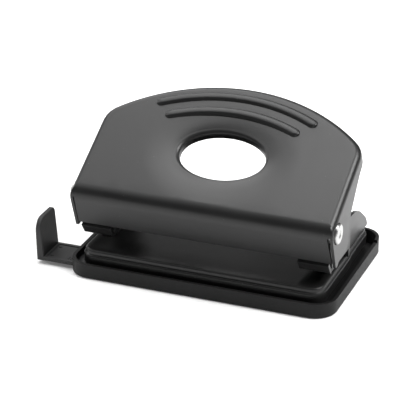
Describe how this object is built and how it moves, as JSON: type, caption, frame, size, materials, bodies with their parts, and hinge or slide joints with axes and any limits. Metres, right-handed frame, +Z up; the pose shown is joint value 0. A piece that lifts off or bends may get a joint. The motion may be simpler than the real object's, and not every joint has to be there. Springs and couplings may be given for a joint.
{
  "type": "hole punch",
  "caption": "Desktop two-hole paper punch with a sprung steel handle, sliding paper guide and pull-off chip tray.",
  "frame": {"origin": "centre of the chip tray's flat underside, where the punch stands", "axes": "+X along the length to the right, -Y to the front where the paper goes in, +Z up"},
  "size_m": [0.1118, 0.0632, 0.0579],
  "materials": {
    "dark_paint": "satin dark grey-black enamel on pressed steel",
    "black_plastic": "fine matte moulded plastic",
    "bright_zinc": "bright zinc plate",
    "punch_steel": "ground tool steel",
    "spring_steel": "drawn spring wire",
    "clip_steel": "dark phosphated spring steel"
  },
  "bodies": {
    "frame": {"base_plate": "dark_paint", "left_bracket": "dark_paint", "left_hinge_pin": "bright_zinc", "left_hinge_washer": "bright_zinc", "left_front_rivet": "bright_zinc", "left_rear_rivet": "bright_zinc", "left_spring": "spring_steel", "right_bracket": "dark_paint", "right_hinge_pin": "bright_zinc", "right_hinge_washer": "bright_zinc", "right_front_rivet": "bright_zinc", "right_rear_rivet": "bright_zinc", "right_spring": "spring_steel"},
    "handle": {"handle": "dark_paint"},
    "left_punch": {"left_punch": "punch_steel", "left_spring_washer": "bright_zinc", "left_circlip": "clip_steel"},
    "right_punch": {"right_punch": "punch_steel", "right_spring_washer": "bright_zinc", "right_circlip": "clip_steel"},
    "chip_tray": {"chip_tray": "black_plastic"},
    "paper_guide": {"paper_guide": "black_plastic"}
  },
  "joints": [
    {"name": "handle_press", "type": "hinge", "parent": "frame", "child": "handle", "pos_m": [0, -0.0228, 0.029], "axis": [-1, 0, 0], "range_deg": [0, 25], "stiffness_Nm_per_rad": 0.9, "springref_deg": -20.05},
    {"name": "left_punch_slide", "type": "slide", "parent": "frame", "child": "left_punch", "axis": [0, 0, -1], "range_m": [0, 0.00515], "deforming": ["left_spring"]},
    {"name": "right_punch_slide", "type": "slide", "parent": "frame", "child": "right_punch", "axis": [0, 0, -1], "range_m": [0, 0.00515], "deforming": ["right_spring"]},
    {"name": "tray_pull_off", "type": "slide", "parent": "frame", "child": "chip_tray", "axis": [0, 0, -1], "range_m": [0, 0.03]},
    {"name": "guide_slide", "type": "slide", "parent": "chip_tray", "child": "paper_guide", "axis": [-1, 0, 0], "range_m": [-0.0105, 0.044]}
  ],
  "couplings": [
    {"joint": "left_punch_slide", "follows": "handle_press", "m_per_rad": 0.01174},
    {"joint": "right_punch_slide", "follows": "handle_press", "m_per_rad": 0.01174}
  ]
}
